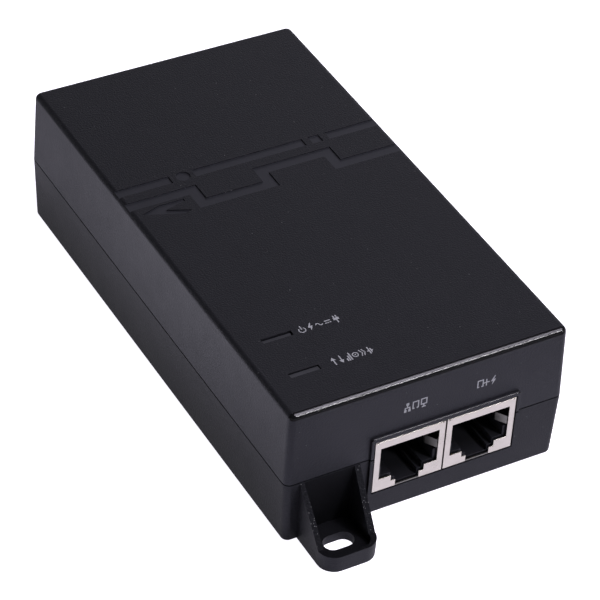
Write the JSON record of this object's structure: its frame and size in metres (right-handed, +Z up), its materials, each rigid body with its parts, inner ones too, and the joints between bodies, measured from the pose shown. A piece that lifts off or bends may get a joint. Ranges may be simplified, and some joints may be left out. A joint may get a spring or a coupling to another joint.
{
  "type": "poe injector",
  "caption": "Mains-powered Ethernet power injector: black two-shell case, two shielded RJ45 jacks on one end, a mains inlet on the other, and slotted screw ears.",
  "frame": {"origin": "centre of the underside, on the surface the case stands on", "axes": "+Z up, -Y out of the jack end, +Y out of the mains inlet end, +X to the right seen from the jack end"},
  "size_m": [0.0648, 0.1432, 0.0334],
  "materials": {
    "case_plastic": "fine spark-eroded texture, black",
    "screw_steel": "zinc plated",
    "shield_tin": "tinned, satin",
    "insert_plastic": "black",
    "contact_gold": "gold plated",
    "inlet_plastic": "black",
    "pin_nickel": "nickel plated",
    "board_laminate": "green solder mask",
    "insulation_film": "milky film",
    "light_pipe": "smoked translucent",
    "led_lens": "diffused",
    "component_black": "moulded",
    "component_white": "moulded",
    "film_yellow": "tape and case",
    "ferrite": "dark grey, matt",
    "copper_wire": "enamelled copper",
    "capacitor_sleeve": "shrink sleeve",
    "heatsink_aluminium": "plain"
  },
  "bodies": {
    "case": {"active_led": "led_lens", "active_light_pipe": "light_pipe", "board_screw_1": "screw_steel", "board_screw_2": "screw_steel", "bridge_rectifier": "component_black", "bulk_capacitor": "capacitor_sleeve", "case_screw_1": "screw_steel", "case_screw_2": "screw_steel", "case_screw_3": "screw_steel", "case_screw_4": "screw_steel", "choke_coil_1": "copper_wire", "choke_coil_2": "copper_wire", "choke_core": "ferrite", "controller_chip": "component_black", "data_transformer": "component_black", "filter_capacitor": "film_yellow", "fuse": "component_black", "inlet_earth_pin": "pin_nickel", "inlet_housing": "inlet_plastic", "inlet_line_pin": "pin_nickel", "inlet_neutral_pin": "pin_nickel", "insulation_sheet": "insulation_film", "lan_jack_insert": "insert_plastic", "lan_jack_shield": "shield_tin", "lower_case": "case_plastic", "main_board": "board_laminate", "optocoupler": "component_white", "output_capacitor_1": "capacitor_sleeve", "output_capacitor_2": "capacitor_sleeve", "output_diode": "component_black", "poe_jack_insert": "insert_plastic", "poe_jack_shield": "shield_tin", "power_led": "led_lens", "power_light_pipe": "light_pipe", "primary_heatsink": "heatsink_aluminium", "secondary_heatsink": "heatsink_aluminium", "switching_transistor": "component_black", "transformer_coil": "film_yellow", "transformer_core": "ferrite", "upper_case": "case_plastic"},
    "lan_contacts": {"lan_contact_1": "contact_gold", "lan_contact_2": "contact_gold", "lan_contact_3": "contact_gold", "lan_contact_4": "contact_gold", "lan_contact_5": "contact_gold", "lan_contact_6": "contact_gold", "lan_contact_7": "contact_gold", "lan_contact_8": "contact_gold"},
    "poe_contacts": {"poe_contact_1": "contact_gold", "poe_contact_2": "contact_gold", "poe_contact_3": "contact_gold", "poe_contact_4": "contact_gold", "poe_contact_5": "contact_gold", "poe_contact_6": "contact_gold", "poe_contact_7": "contact_gold", "poe_contact_8": "contact_gold"},
    "lan_left_spring": {"lan_left_ground_spring": "shield_tin"},
    "lan_right_spring": {"lan_right_ground_spring": "shield_tin"},
    "poe_left_spring": {"poe_left_ground_spring": "shield_tin"},
    "poe_right_spring": {"poe_right_ground_spring": "shield_tin"}
  },
  "joints": [
    {"name": "lan_contact_flex", "type": "hinge", "parent": "case", "child": "lan_contacts", "pos_m": [-0.00425, -0.0584, 0.01795], "axis": [1, 0, 0], "range_deg": [0, 11], "stiffness_Nm_per_rad": 0.05},
    {"name": "poe_contact_flex", "type": "hinge", "parent": "case", "child": "poe_contacts", "pos_m": [0.0124, -0.0584, 0.01795], "axis": [1, 0, 0], "range_deg": [0, 11], "stiffness_Nm_per_rad": 0.05},
    {"name": "lan_left_spring_flex", "type": "hinge", "parent": "case", "child": "lan_left_spring", "pos_m": [-0.0112, -0.05995, 0.01382], "axis": [0, 0, 1], "range_deg": [0, 20], "stiffness_Nm_per_rad": 0.05},
    {"name": "lan_right_spring_flex", "type": "hinge", "parent": "case", "child": "lan_right_spring", "pos_m": [0.0027, -0.05995, 0.01382], "axis": [0, 0, -1], "range_deg": [0, 20], "stiffness_Nm_per_rad": 0.05},
    {"name": "poe_left_spring_flex", "type": "hinge", "parent": "case", "child": "poe_left_spring", "pos_m": [0.00545, -0.05995, 0.01382], "axis": [0, 0, 1], "range_deg": [0, 20], "stiffness_Nm_per_rad": 0.05},
    {"name": "poe_right_spring_flex", "type": "hinge", "parent": "case", "child": "poe_right_spring", "pos_m": [0.01935, -0.05995, 0.01382], "axis": [0, 0, -1], "range_deg": [0, 20], "stiffness_Nm_per_rad": 0.05}
  ]
}
